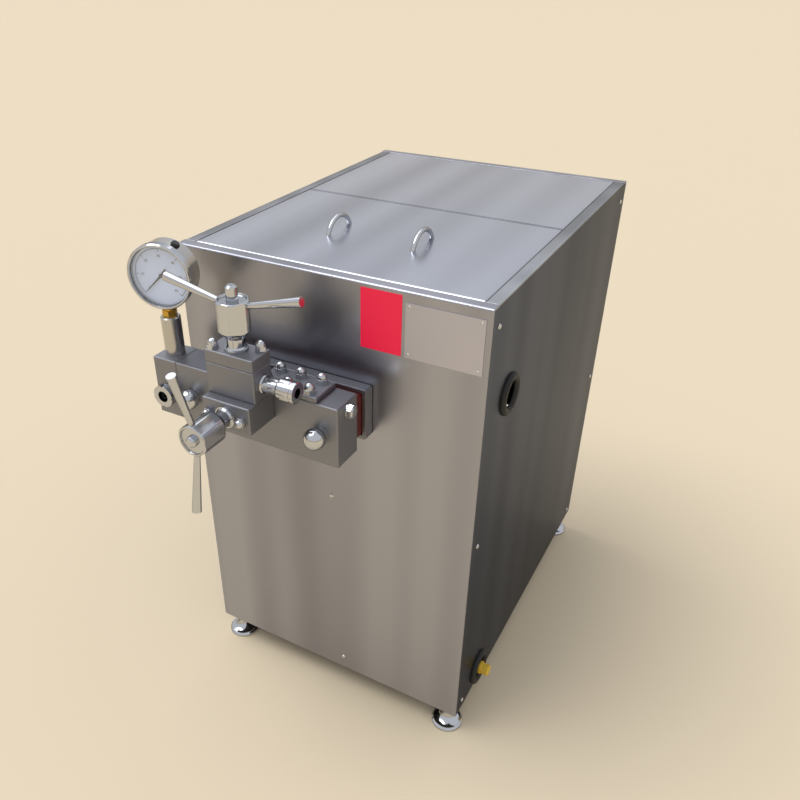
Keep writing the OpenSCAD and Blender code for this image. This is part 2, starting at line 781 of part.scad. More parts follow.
// Ceramic-faced plunger at its own place in the stroke
module plunger(k) {
    tip_y = chamber_end + head_space + stroke / 2 * (1 - cos(crank_angle[k]));
    on_front(plunger_x[k], tip_y + plunger_l, axis_z) {
        cylinder(r = plunger_r, h = plunger_l - 1);
        translate([0, 0, plunger_l - 1]) cylinder(r1 = plunger_r, r2 = plunger_r - 1, h = 1);
    }
}

module plunger_1() placed() color("ivory") plunger(0);
module plunger_2() placed() color("ivory") plunger(1);
module plunger_3() placed() color("ivory") plunger(2);

module valve_balls() placed() color("gainsboro")
    for (x = plunger_x, z = [suction_seat, discharge_seat])
        translate([x, mid_y, z + ball_lift]) sphere(r = ball_r);

// Pressure valves

// Frame of a valve: its base face at zero and its axis upwards
module stage(n) {
    if (n == 1) translate(first_base) children();
    else translate(second_base) rotate([90, 0, 0]) children();
}

// Coil of round rod as one closed tube, from the bottom up
module coil(r, rod, turns, l) {
    sides = 8;
    steps = turns * 16;
    points = [for (i = [0:steps], j = [0:sides - 1])
        let (a = 360 * turns * i / steps, c = r + rod / 2 * cos(360 * j / sides))
        [c * cos(a), c * sin(a), rod / 2 + (l - rod) * i / steps + rod / 2 * sin(360 * j / sides)]];
    skin = [for (i = [0:steps - 1], j = [0:sides - 1])
        let (k = (j + 1) % sides)
        [i * sides + j, i * sides + k, (i + 1) * sides + k, (i + 1) * sides + j]];
    bottom = [for (j = [sides - 1:-1:0]) j];
    top = [for (j = [0:sides - 1]) steps * sides + j];
    polyhedron(points, concat([bottom, top], skin), convexity = 10);
}

// Body of the second stage on the face of the pump block
module lower_body() placed() color("silver")
    difference() {
        translate([valve_x, (front_y + lower_y) / 2, block_top - lower_h / 2])
            chamfer_block([valve_w, lower_d, lower_h], edge);
        stage(2) translate([0, 0, -second_depth]) cylinder(r = valve_bore_r, h = second_depth + 1);
        translate([valve_x, first_base[1], second_base[2]]) cylinder(r = port_r, h = lower_h);
        on_front(feed_x, front_y + 1, axis_z + gallery_drop) cylinder(r = port_r, h = feed_in + 1);
        translate([feed_x, front_y - feed_in, axis_z + gallery_drop]) cylinder(r = port_r, h = lower_h);
        stage(2) for (x = [-1, 1]) translate([x * front_nut_x, 0, -lower_d - 1])
            cylinder(r = small_stud_r + hole_fit, h = lower_d + 2);
    }

// Body of the first stage, with the outlet on its right
module upper_body() placed() color("silver")
    difference() {
        translate([valve_x, first_base[1], block_top + upper_h / 2])
            chamfer_block([valve_w, upper_d, upper_h], edge);
        stage(1) translate([0, 0, -first_depth]) cylinder(r = valve_bore_r, h = first_depth + 1);
        translate([valve_x, first_base[1], block_top - 1]) cylinder(r = port_r, h = upper_h / 2);
        translate([feed_x, front_y - feed_in, block_top - 1]) cylinder(r = port_r, h = upper_h / 2);
        on_front(feed_x, front_y - feed_in, block_top + upper_h / 2 - 1)
            cylinder(r = port_r, h = upper_d / 2 - feed_in + 4);
        on_right(valve_x - valve_w / 2 - 1, first_base[1], outlet_z)
            cylinder(r = outlet_port_r, h = valve_w + 2);
        stage(1) for (s = [-1, 1]) translate([s * top_nut[0], s * top_nut[1], -cover_t - top_stud_in])
            cylinder(r = small_stud_r + hole_fit, h = cover_t + top_stud_in);
    }

module upper_cover() placed() color("silver")
    stage(1) difference() {
        translate([0, 0, -cover_t / 2]) chamfer_block([valve_w, upper_d, cover_t], edge);
        translate([0, 0, -cover_t - 1]) cylinder(r = valve_bore_r, h = cover_t - bonnet_web + 1);
        translate([0, 0, -cover_t]) cylinder(r = spindle_r + hole_fit, h = cover_t + 1);
        for (s = [-1, 1]) translate([s * top_nut[0], s * top_nut[1], -cover_t - 1])
            cylinder(r = small_stud_r + hole_fit, h = cover_t + 2);
    }

// Cap nuts of both bodies, and the plug opposite the outlet
module valve_nuts() placed() color("gainsboro") {
    stage(1) for (s = [-1, 1]) translate([s * top_nut[0], s * top_nut[1], 0])
        cap_nut(top_nut_flats, small_stud_r, cover_t + top_stud_in - 2);
    stage(2) for (s = [-1, 1]) translate([s * front_nut_x, 0, 0])
        cap_nut(front_nut_flats, small_stud_r, lower_d + front_stud_in - 2);
    on_right(valve_x - valve_w / 2, first_base[1], outlet_z) {
        translate([0, 0, -7]) cylinder(r = outlet_r + 1, h = 7);
        translate([0, 0, -1]) cylinder(r = outlet_port_r - run_fit, h = 12);
    }
}

// Neck under each lever: guides the spindle
module bonnets() placed() color("gainsboro")
    for (n = [1, 2]) stage(n) difference() {
        union() {
            cylinder(r = neck_r, h = neck_l);
            cylinder(r = neck_r + 4, h = 4);
            translate([0, 0, 4]) cylinder(r1 = neck_r + 2, r2 = neck_r, h = 3);
        }
        translate([0, 0, -1]) cylinder(r = spindle_r + run_fit, h = neck_l + 2);
    }

module valve_seats() placed() color("gainsboro")
    for (n = [1, 2]) stage(n) translate([0, 0, -valve_depth[n - 1]]) difference() {
        cylinder(r = valve_bore_r - run_fit, h = seat_t);
        translate([0, 0, -1]) cylinder(r = port_r, h = seat_t + 2);
        translate([0, 0, seat_t - 2]) cylinder(r1 = port_r, r2 = port_r + 2, h = 2.01);
    }

module valve_cores() placed() color("gainsboro")
    for (n = [1, 2]) stage(n) translate([0, 0, seat_t - valve_depth[n - 1]]) {
        cylinder(r = core_r, h = core_l - 4);
        translate([0, 0, core_l - 4]) cylinder(r = core_r - spring_rod - 2, h = 4);
        translate([0, 0, core_l - 4]) cylinder(r = core_r + 1, h = 2);
    }

module valve_springs() placed() color("gray")
    for (n = [1, 2]) stage(n) translate([0, 0, seat_t + core_l - 2 + spring_seat_gap - valve_depth[n - 1]])
        coil(core_r - spring_rod / 2, spring_rod, spring_turns, spring_l);

// Keyed spindle that the turning hub screws in and out
module spindle(n) {
    tip = valve_depth[n - 1] - seat_t - core_l - spring_l - feed - slip_gap;
    shank = tip + neck_l + hub_l + spindle_end[n - 1] - 3;
    stage(n) translate([0, 0, -tip]) {
        cylinder(r = spindle_r, h = shank);
        translate([0, 0, shank]) cylinder(r1 = spindle_r, r2 = spindle_r - 3, h = 3);
    }
}

module first_spindle() placed() color("gainsboro") spindle(1);
module second_spindle() placed() color("gainsboro") spindle(2);

// Hub with a conical foot, six milled flats, a dished end and two tilted arms screwed into it
module lever(n, turn) {
    stage(n) translate([0, 0, neck_l + slip_gap]) rotate(turn) {
        difference() {
            intersection() {
                rotate_extrude() polygon([[spindle_r + run_fit, 0], [neck_r + 1, 0], [hub_r, 13],
                    [hub_r, hub_l - 2], [hub_r - 2, hub_l], [hub_r - 4, hub_l],
                    [hub_r - 5, hub_l - hub_dish], [spindle_r + run_fit, hub_l - hub_dish]]);
                cylinder(r = (hub_r - 1.3) / cos(30), h = hub_l, $fn = 6);
            }
            for (a = [0, 180]) rotate(a) arm_place() cylinder(r = arm_root_r + run_fit, h = 2 * arm_seat);
        }
        for (a = [0, 180]) rotate(a) arm_place() {
            cylinder(r = arm_root_r, h = arm_seat + 2);
            translate([0, 0, arm_seat + 2]) cylinder(r1 = arm_root_r, r2 = arm_tip_r, h = arm_l - 2);
        }
    }
}

module arm_place() {
    translate([hub_r, 0, hub_l - arm_drop]) rotate([0, 90 - arm_tilt, 0])
        translate([0, 0, -arm_seat]) children();
}

module first_lever() placed() color("gainsboro") lever(1, 4.5);
module second_lever() placed() color("gainsboro") lever(2, 93);

// Outlet: stub, slotted ring nut and end collar, open to the right
module outlet_union() placed() color("gainsboro") {
    stub_r = outlet_r + 5.5;
    ring_r = outlet_r + 9;
    on_right(valve_x + valve_w / 2, first_base[1], outlet_z) difference() {
        rotate_extrude() polygon([[outlet_r, 0], [outlet_r + 7, 0], [outlet_r + 7, 4], [stub_r, 6],
            [stub_r, 30], [ring_r - 1, 32], [ring_r, 34], [ring_r, union_l - 11],
            [ring_r - 1, union_l - 10], [ring_r - 1, union_l - 7], [ring_r, union_l - 6],
            [ring_r, union_l - 1], [ring_r - 1, union_l], [outlet_r, union_l]]);
        for (a = [0:60:300]) rotate(a + 20) translate([stub_r - 1.5, -2, 10]) cube([4, 4, 14]);
    }
}

// Gauge

// Frame of the gauge: its middle, with the dial facing the front before it is turned
module at_gauge() {
    translate([gauge_x, mid_y, gauge_z]) rotate(gauge_turn) rotate([90, 0, 0]) children();
}

module gauge_post() placed() color("silver")
    translate([gauge_x, mid_y, block_top]) {
        translate([0, 0, -post_pin_l]) cylinder(r = post_pin_r, h = post_pin_l + 1);
        cylinder(r = post_r, h = post_h - 2);
        translate([0, 0, post_h - 2]) cylinder(r1 = post_r, r2 = post_r - 2, h = 2);
    }

module gauge_adapter() placed() color("goldenrod")
    translate([gauge_x, mid_y, block_top + post_h]) difference() {
        union() {
            cylinder(r = 12.5, h = adapter_h - 3, $fn = 6);
            cylinder(r = 10, h = adapter_h);
        }
        translate([0, 0, stem_seat]) cylinder(r = stem_r + hole_fit, h = adapter_h);
    }

// Steel can with its stem; the front is open for the dial
module gauge_case() placed() color("silver")
    difference() {
        union() {
            at_gauge() translate([0, 0, -gauge_depth / 2])
                cylinder(r = case_r, h = gauge_depth - bezel_lip - glass_t);
            translate([gauge_x, mid_y, block_top + post_h + stem_seat])
                cylinder(r = stem_r, h = adapter_h + stem_gap + gauge_r - case_r - stem_seat + 5);
        }
        at_gauge() translate([0, 0, 2 - gauge_depth / 2]) cylinder(r = case_r - 2, h = gauge_depth);
        at_gauge() rotate(gauge_plug_turn) translate([0, 0, -gauge_plug_back]) rotate([-90, 0, 0])
            cylinder(r = gauge_plug_r + hole_fit, h = gauge_r);
    }

module gauge_bezel() placed() color("gainsboro")
    at_gauge() translate([0, 0, gauge_depth / 2]) rotate_extrude()
        polygon([[gauge_r - 4, 0], [gauge_r - 2, 0], [gauge_r, -2], [gauge_r, 2 - bezel_d],
            [gauge_r - 1, -bezel_d], [case_r + hole_fit, -bezel_d], [case_r + hole_fit, -bezel_lip],
            [gauge_r - 5, -bezel_lip]]);

module gauge_glass() placed() color("azure")
    at_gauge() translate([0, 0, gauge_depth / 2 - bezel_lip - glass_t]) cylinder(r = case_r, h = glass_t);

module gauge_dial() placed() color("white")
    at_gauge() translate([0, 0, dial_at]) difference() {
        cylinder(r = dial_r, h = 1);
        translate([0, 0, -1]) cylinder(r = pin_r + run_fit, h = 3);
    }

// Needle with a short tail, on a pin through the dial
module gauge_pointer() placed() color("#181818")
    at_gauge() translate([0, 0, dial_at]) {
        translate([0, 0, -3]) cylinder(r = pin_r, h = 6);
        translate([0, 0, 2]) linear_extrude(1) rotate(pointer_start) {
            polygon([[-14, -3], [-14, 3], [0, 1.6], [dial_r - 8, 0.3], [dial_r - 8, -0.3], [0, -1.6]]);
            circle(r = 3.5);
        }
    }

module gauge_plug() placed() color("#1c1c1c")
    at_gauge() rotate(gauge_plug_turn) translate([0, case_r - 4, -gauge_plug_back]) rotate([-90, 0, 0]) {
        cylinder(r = gauge_plug_r, h = 8);
        translate([0, 0, 4.6]) cylinder(r1 = gauge_plug_r + 1.5, r2 = gauge_plug_r, h = 4);
    }

// Drive

// Rim, web and hub of a grooved pulley, from its outer face inwards
module pulley(r, bore, web) {
    rotate_extrude() difference() {
        union() {
            translate([bore, 0]) square([0.7 * bore, pulley_w]);
            translate([bore, (pulley_w - web) / 2]) square([r - bore - 1, web]);
            translate([r - belt_t - 9, 0]) square([belt_t + 9, pulley_w]);
        }
        for (k = [-1:1])
            translate([r - belt_t - belt_gap, pulley_w / 2 + k * belt_pitch - belt_w / 2 - belt_gap])
                square([belt_t + 2, belt_w + 2 * belt_gap]);
    }
}

module crank_pulley() placed() color("dimgray")
    on_right(pulley_x, crank_y, axis_z) difference() {
        pulley(crank_r, shaft_r + run_fit, 12);
        for (a = [0:60:300])
            rotate(a) translate([0.6 * crank_r, 0, -1]) cylinder(r = 0.14 * crank_r, h = pulley_w + 2);
    }

module crankshaft() placed() color("gray")
    on_right(pulley_x - 3, crank_y, axis_z) {
        cylinder(r = shaft_r, h = case_x0 + shaft_in - pulley_x + 3);
        cylinder(r = shaft_r + 6, h = 3);
    }

module motor_pulley() placed() color("dimgray")
    on_right(pulley_x, motor_y, motor_z) {
        pulley(motor_r, motor_shaft_r, pulley_w);
        cylinder(r = motor_shaft_r + 0.5, h = pulley_w);
        translate([0, 0, 1]) cylinder(r = motor_shaft_r, h = motor_x - pulley_x + shaft_in - 1);
    }

// Outline of a belt's path round both pulleys, from the crank towards the motor
module belt_loop(r1, r2, gap) {
    hull() {
        circle(r = r1);
        translate([gap, 0]) circle(r = r2);
    }
}

module v_belts() placed() color("#202020") {
    shift = [motor_y - crank_y, axis_z - motor_z];
    for (k = [-1:1])
        on_right(pulley_x + pulley_w / 2 + k * belt_pitch, crank_y, axis_z)
            rotate(atan2(shift[0], shift[1])) linear_extrude(belt_w, center = true) difference() {
                belt_loop(crank_r, motor_r, norm(shift));
                belt_loop(crank_r - belt_t, motor_r - belt_t, norm(shift));
            }
}

// Finned motor with end bell, fan cover, feet and terminal box
module motor() placed() color("steelblue")
    difference() {
        union() {
            on_right(motor_x, motor_y, motor_z) {
                cylinder(r = motor_body_r, h = motor_l);
                translate([0, 0, -end_bell])
                    cylinder(r1 = motor_body_r * 0.6, r2 = motor_body_r, h = end_bell);
                for (a = [15:30:345])
                    rotate(a) translate([motor_body_r - 3, -fin_t / 2, fin_end])
                        cube([fin_h + 3, fin_t, motor_l - 2 * fin_end]);
                translate([0, 0, motor_l])
                    cylinder(r1 = motor_body_r + 6, r2 = motor_body_r - 4, h = fan_cover_l);
            }
            for (x = motor_foot_x, s = [-1, 1])
                translate([x, motor_y + s * motor_foot_y, base_top + motor_plate_t]) {
                    translate([-motor_foot[0] / 2, -motor_foot[1] / 2, 0]) cube(motor_foot);
                    translate([-web_t / 2, s > 0 ? -motor_foot[1] / 2 : 0, 0])
                        cube([web_t, motor_foot[1] / 2, motor_shaft_h - 40]);
                }
            translate([motor_x + terminal_at, motor_y - terminal[1] / 2, motor_z])
                cube([terminal[0], terminal[1], motor_body_r + terminal[2]]);
        }
        on_right(motor_x - end_bell - 1, motor_y, motor_z)
            cylinder(r = motor_shaft_r + run_fit, h = shaft_in + end_bell + 2);
    }

module motor_plate() placed() color("dimgray")
    translate([motor_x, motor_y - motor_foot_y - rail_w / 2, base_top])
        cube([motor_l, 2 * motor_foot_y + rail_w, motor_plate_t]);

base_rails();
upper_frame();
front_panel();
left_panel();
right_panel();
back_panel();
rear_top_plate();
lid();
lid_handles();
feet();
panel_screws();
grommets();
drain_pipe();
drain_cap();
cable_gland();
crankcase();
crankcase_caps();
oil_sight_glass();
trim_frame();
head_gasket();
pump_block();
gauge_block();
block_cover();
cover_nuts();
ball_nuts();
end_plug();
inlet_fitting();
packings();
plunger_1();
plunger_2();
plunger_3();
valve_balls();
lower_body();
upper_body();
upper_cover();
valve_nuts();
bonnets();
valve_seats();
valve_cores();
valve_springs();
first_spindle();
second_spindle();
first_lever();
second_lever();
outlet_union();
gauge_post();
gauge_adapter();
gauge_case();
gauge_bezel();
gauge_glass();
gauge_dial();
gauge_pointer();
gauge_plug();
motor();
motor_plate();
motor_pulley();
crank_pulley();
crankshaft();
v_belts();
data_plate();
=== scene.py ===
"""Looks of a two-stage dairy homogenizer: sheet steel cabinet, polished pump head, levers and gauge."""

import json
import math

import bpy
import numpy as np
from mathutils import Matrix, Vector


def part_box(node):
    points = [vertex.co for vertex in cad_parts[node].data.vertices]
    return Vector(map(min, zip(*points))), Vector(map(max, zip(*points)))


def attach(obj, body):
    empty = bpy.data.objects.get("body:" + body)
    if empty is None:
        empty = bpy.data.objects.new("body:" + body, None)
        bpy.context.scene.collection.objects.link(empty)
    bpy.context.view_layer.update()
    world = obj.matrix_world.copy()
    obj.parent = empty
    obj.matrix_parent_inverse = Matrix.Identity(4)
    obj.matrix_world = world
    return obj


bl_info = {
    "name": "Dairy homogenizer looks",
    "version": (1, 0, 0),
    "blender": (4, 5, 0),
    "location": "View3D > Sidebar > Homogenizer",
    "description": "Finishes and small pieces of a two-stage dairy homogenizer on its fixed frame",
    "category": "Object",
}

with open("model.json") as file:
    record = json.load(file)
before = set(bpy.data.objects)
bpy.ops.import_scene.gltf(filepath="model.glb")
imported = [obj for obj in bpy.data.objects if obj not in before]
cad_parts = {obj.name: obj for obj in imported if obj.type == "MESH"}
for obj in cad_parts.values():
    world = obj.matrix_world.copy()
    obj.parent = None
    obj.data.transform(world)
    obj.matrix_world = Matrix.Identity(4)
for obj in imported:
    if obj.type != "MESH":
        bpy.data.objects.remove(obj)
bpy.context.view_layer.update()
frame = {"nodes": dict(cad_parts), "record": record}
MM = 0.001

# Places that the frame gives: the front, the data plate, the top's rim and seam, and the gauge's dial
FRONT_LOW, FRONT_HIGH = (np.array(c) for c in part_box("front_panel"))
PLATE_LOW, PLATE_HIGH = (np.array(c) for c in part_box("data_plate"))
RIM_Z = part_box("right_panel")[1][2]
SEAM_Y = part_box("rear_top_plate")[0][1]
DIAL_LOW, DIAL_HIGH = (np.array(c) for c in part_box("gauge_dial"))
CABINET_X = 0.5 * (FRONT_LOW[0] + FRONT_HIGH[0])
FRONT_Y = FRONT_LOW[1]
NEEDLE = next(j for j in frame["record"]["behaviour"]["joints"] if j["name"] == "gauge_needle")
DIAL_R = 0.5 * (DIAL_HIGH[2] - DIAL_LOW[2])
DIAL_IN = Vector(NEEDLE["axis"]).normalized()
DIAL_UP = Vector((0.0, 0.0, 1.0))
DIAL_RIGHT = DIAL_IN.cross(DIAL_UP).normalized()

# Brushed sheet: width and length of its lines and of the belt's passes in mm, as the noise is drawn
LINE_MM = (2.5, 600.0)
PASS_MM = (90.0, 3000.0)
NOISE_RANGE = {"From Min": 0.3, "From Max": 0.7}
LINE_GLOSS = (-0.02, 0.03)           # added to the roughness between the lines and on them
PASS_TONE = {"To Min": 0.84, "To Max": 1.16}
LINE_BUMP = {"Strength": 0.015, "Distance": 0.1 * MM}
ALONG_Y, ALONG_Z = 1, 2
ROLLED = 0.8            # roughness of the sides and the top, as a share of the front's
TOP_EDGE = 0.2          # edge rounding of the top, as a share of the front's
# share mirrored at a flat angle on the sides, lowered together with their colour so that they look dark:
# painted shade
SIDE_SHADE_GLANCE = 0.45
RIM_FADE = (3.5 * MM, 1.0 * MM)      # below the rim, where the sides' darker colour, a painted shade, turns into the rim's lighter one
SEAM_FADE = (4.0 * MM, 2.5 * MM)     # behind the seam, where the top's colour is painted dark: painted shade that dims the highlight of the fold
BEVEL_SAMPLES = 4

# Front plates
FLAG_CORNER, FLAG_THICK = 1.5 * MM, 0.6 * MM
FLAG_ABOVE = 10 * MM    # top of the red plate over the data plate's
RIVET_INSET = 6 * MM

# Dial: degrees from the right, then shares of its radius, then half widths of its marks
DIAL_START, DIAL_SWEEP = 225.0, 270.0
MARKS_OUT, RING_IN, LARGE_IN, SMALL_IN, NUMBERS_AT = 0.91, 0.895, 0.80, 0.86, 0.66
LARGE_HALF, SMALL_HALF = 0.45 * MM, 0.2 * MM
STEPS_PER_NUMBER = 10
RING_POINTS = 91
PRINT_LIFT = 0.1 * MM

# Stage, in metres
FLOOR_HALF = 60.0
SKY_FROM = 0.4          # height on the unit sphere at which the floor's colour has turned into the sky's
LAMP_WAY = Vector((0.4, 0.2, -0.9))
LAMP_ANGLE = math.radians(40)
BOX_SIZE = (2.4, 1.8)
BOX_PLACE = Vector((CABINET_X - 1.0, FRONT_Y + 0.8, 2.9))
BOX_AIM = Vector((CABINET_X, FRONT_Y, 0.8))
CAMERA_PLACE = Vector((CABINET_X + 0.609, FRONT_Y - 0.949, 1.354))
CAMERA_SHIFT = (0.0511, 0.0308)
SENSOR_MM = 36.0
CLIP_END = 200.0


# Settings that a user would change

class SteelSettings(bpy.types.PropertyGroup):
    """Colours and gloss of the machine's steels."""

    panel: bpy.props.StringProperty(
        name="Panel steel", description="sRGB colour of the brushed front and back", default="#9C9DA6")
    # the side steel is darker than the panel steel: painted shade, the sides being the same stainless as the
    # front
    side: bpy.props.StringProperty(
        name="Side steel", description="sRGB colour of the sides, darker than the front as painted shade", default="#6A707E")
    top: bpy.props.StringProperty(
        name="Top steel", description="sRGB colour of the lid and rear plate", default="#B5B8C1")
    head: bpy.props.StringProperty(
        name="Head steel", description="sRGB colour of the machined blocks", default="#8B8C92")
    bright: bpy.props.StringProperty(
        name="Bright steel", description="sRGB colour of the polished fittings", default="#C6C8CC")
    panel_roughness: bpy.props.FloatProperty(
        name="Panel roughness", description="Roughness of the brushed sheet", default=0.3, min=0.05, max=0.8,
        subtype="FACTOR")
    edge_round: bpy.props.FloatProperty(
        name="Edge rounding", description="Radius that folded and machined edges seem to have",
        default=2.0 * MM, min=0.0, max=5 * MM, unit="LENGTH", precision=4)


class FaceSettings(bpy.types.PropertyGroup):
    """Sizes of the plates on the front and of the gauge's marks."""

    flag_width: bpy.props.FloatProperty(
        name="Red plate width", description="Width of the blank red plate", default=70 * MM, unit="LENGTH")
    flag_height: bpy.props.FloatProperty(
        name="Red plate height", description="Height of the blank red plate", default=99 * MM, unit="LENGTH")
    flag_gap: bpy.props.FloatProperty(
        name="Plate gap", description="Gap between the red plate and the data plate", default=6 * MM,
        unit="LENGTH")
    rivet_radius: bpy.props.FloatProperty(
        name="Rivet radius", description="Radius of a data plate rivet", default=2.2 * MM, unit="LENGTH")
    tick_count: bpy.props.IntProperty(
        name="Small steps", description="Number of small steps on the dial", default=60, min=10, max=120)
    number_height: bpy.props.FloatProperty(
        name="Number height", description="Height of the dial's numbers", default=6.5 * MM, unit="LENGTH")


class StageSettings(bpy.types.PropertyGroup):
    """Light, floor and camera."""

    floor: bpy.props.StringProperty(
        name="Floor", description="sRGB colour of the floor", default="#E1D1B5")
    sky: bpy.props.StringProperty(
        name="Sky", description="sRGB colour of the light from above", default="#F2F5FC")
    sky_strength: bpy.props.FloatProperty(
        name="Sky strength", description="Strength of the light from above", default=0.8, min=0.0)
    sun_strength: bpy.props.FloatProperty(
        name="Sun strength", description="Strength of the large soft lamp", default=1.5, min=0.0)
    box_strength: bpy.props.FloatProperty(
        name="Softbox brightness", description="Brightness of the overhead box that metal mirrors",
        default=1.2, min=0.0)
    azimuth: bpy.props.FloatProperty(
        name="Camera azimuth", description="Turn of the camera to the right of the front",
        default=math.radians(29.74), subtype="ANGLE")
    elevation: bpy.props.FloatProperty(
        name="Camera elevation", description="Height angle of the camera", default=math.radians(32.33),
        subtype="ANGLE")
    roll: bpy.props.FloatProperty(
        name="Camera roll", description="Turn of the camera about its own axis", default=math.radians(-0.24),
        subtype="ANGLE")
    lens: bpy.props.FloatProperty(
        name="Lens", description="Focal length on a 36 mm sensor", default=35.32, subtype="DISTANCE_CAMERA")


# Shapes

def put_mesh(name, verts, faces, smooth=True):
    """Makes an object at the origin from an array of points and an array of faces."""
    mesh = bpy.data.meshes.new(name)
    mesh.from_pydata(verts.tolist(), [], faces.tolist())
    mesh.validate()
    mesh.shade_smooth() if smooth else mesh.shade_flat()
    made = bpy.data.objects.new(name, mesh)
    bpy.context.scene.collection.objects.link(made)
    return made


def grid_faces(rows, columns, closed):
    """Quads between neighbouring rows and columns of a grid; closed joins the last column to the first."""
    across = np.arange(columns if closed else columns - 1)
    row, column = (a.ravel() for a in np.meshgrid(np.arange(rows - 1), across, indexing="ij"))
    after = (column + 1) % columns
    return np.stack([row * columns + column, row * columns + after,
                     (row + 1) * columns + after, (row + 1) * columns + column], axis=1)


def loft(outlines):
    """Surface through a stack of closed outlines: point (i, j) is point j of outline i."""
    outlines = np.asarray(outlines)
    return outlines.reshape(-1, 3), grid_faces(outlines.shape[0], outlines.shape[1], True)


def rounded_outline(width, height, corner, steps=6):
    """Corner arcs of a rectangle: each is its centre plus corner times (cos a, sin a) over a quarter turn."""
    turn = np.linspace(0.0, math.pi / 2, steps)
    start = np.arange(4)[:, None] * math.pi / 2
    angle = (start + turn).ravel()
    side = np.repeat(np.array([[1, 1], [-1, 1], [-1, -1], [1, -1]]), steps, axis=0)
    centre = side * np.array([width / 2 - corner, height / 2 - corner])
    return centre + corner * np.stack([np.cos(angle), np.sin(angle)], axis=1)


def join_parts(parts):
    """Joins (points, faces) pairs into one pair, each face shifted by the points before it."""
    shift = np.cumsum([0] + [len(points) for points, _ in parts[:-1]])
    return (np.concatenate([points for points, _ in parts]),
            np.concatenate([faces + s for (_, faces), s in zip(parts, shift)]))


def front_plate(width, height, corner, thickness, middle):
    """Plate on the front face: its rounded outline, scaled and stacked from the back round to the front."""
    flat = rounded_outline(width, height, corner)
    edge = 0.3 * thickness
    scale_in = 1.0 - 2.0 * edge / min(width, height)
    stack = [(0.0, 0.0), (1.0, 0.0), (1.0, thickness - edge), (scale_in, thickness), (0.0, thickness)]
    rows = [np.stack([s * flat[:, 0], np.full(len(flat), -t), s * flat[:, 1]], axis=1) for s, t in stack]
    points, faces = loft(rows)
    return points + np.asarray(middle), faces


def dome(radius, height, middle, steps=16, rings=5):
    """Button head on the front face: radius cos u, height sin u, turned about the face's normal."""
    rise = np.linspace(0.0, math.pi / 2, rings)
    turn = np.linspace(0.0, 2 * math.pi, steps, endpoint=False)
    r = radius * np.cos(rise)[:, None]
    depth = -height * np.sin(rise)[:, None]
    points = np.stack(np.broadcast_arrays(r * np.cos(turn), depth, r * np.sin(turn)), axis=-1)
    faces = grid_faces(rings, steps, True)
    return points.reshape(-1, 3) + np.asarray(middle), faces


def on_dial(across, up, lift):
    """Points on the dial: across and up from its middle, lifted off its face."""
    middle = np.array(Vector(NEEDLE["pos_m"]) - DIAL_IN * lift)
    return middle + np.multiply.outer(across, np.array(DIAL_RIGHT)) + np.multiply.outer(up, np.array(DIAL_UP))


def dial_face_lift():
    """Distance of the dial's printed face in front of the needle's pivot point."""
    mesh = frame["nodes"]["gauge_dial"].data
    points = np.empty(len(mesh.vertices) * 3)
    mesh.vertices.foreach_get("co", points)
    depth = (points.reshape(-1, 3) - np.array(NEEDLE["pos_m"])) @ -np.array(DIAL_IN)
    return depth.max()


# Materials

def linear(code):
    """sRGB hex to linear: below 0.04045 over 12.92, above by the 2.4 power."""
    value = np.array([int(code[i:i + 2], 16) for i in (1, 3, 5)]) / 255.0
    value = np.where(value <= 0.04045, value / 12.92, ((value + 0.055) / 1.055) ** 2.4)
    return (*value.tolist(), 1.0)


def add_node(tree, kind, inputs=None, **settings):
    """Adds a node with its settings; an input that is a socket is linked, any other is set as a value."""
    made = tree.nodes.new(kind)
    for key, value in settings.items():
        setattr(made, key, value)
    for key, value in (inputs or {}).items():
        if isinstance(value, bpy.types.NodeSocket):
            tree.links.new(value, made.inputs[key])
        else:
            made.inputs[key].default_value = value
    return made


def new_material(name, **inputs):
    """Principled material; keyword words name its sockets with underscores for spaces."""
    made = bpy.data.materials.new(name)
    made.use_nodes = True
    tree = made.node_tree
    tree.nodes.clear()
    values = {key.replace("_", " "): value for key, value in inputs.items()}
    shader = add_node(tree, "ShaderNodeBsdfPrincipled", values)
    add_node(tree, "ShaderNodeOutputMaterial", {"Surface": shader.outputs["BSDF"]})
    return made, tree, shader


def grain(tree, along, width_mm, length_mm, detail):
    """Noise drawn out along one axis, width_mm wide and length_mm long, with finer layers by detail."""
    scale = [1000.0 / width_mm] * 3
    scale[along] = 1000.0 / length_mm
    place = add_node(tree, "ShaderNodeTexCoord")
    turned = add_node(tree, "ShaderNodeMapping", {"Vector": place.outputs["Object"], "Scale": scale})
    return add_node(tree, "ShaderNodeTexNoise",
                    {"Vector": turned.outputs["Vector"], "Scale": 1.0, "Detail": detail, "Roughness": 0.5})


